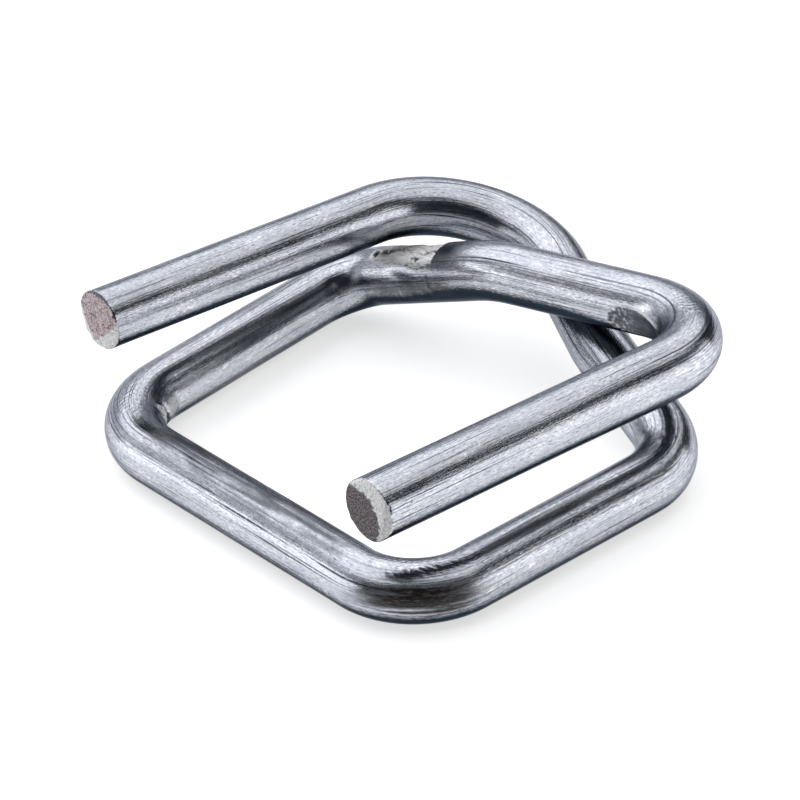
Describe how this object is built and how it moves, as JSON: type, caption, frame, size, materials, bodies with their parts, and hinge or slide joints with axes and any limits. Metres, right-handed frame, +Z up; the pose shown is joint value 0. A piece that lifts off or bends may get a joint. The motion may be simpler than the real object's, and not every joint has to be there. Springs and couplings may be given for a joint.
{
  "type": "wire strapping buckle",
  "caption": "Bent-wire buckle that joins the ends of a packing strap: a base frame, bars that cross behind it and free prongs above its side bars.",
  "frame": {"origin": "middle of the front bar, on the wire's centre line", "axes": "+X along the front bar to the right, +Y from the front bar to the crossing bars at the back, +Z up from the base frame to the prongs"},
  "size_m": [0.032, 0.0303, 0.0098],
  "materials": {
    "zinc_wire": "bright zinc plate on drawn steel wire, with fine draw lines along the wire and pressed tool marks at the bends"
  },
  "bodies": {
    "root": {"buckle_wire": "zinc_wire"}
  },
  "joints": []
}
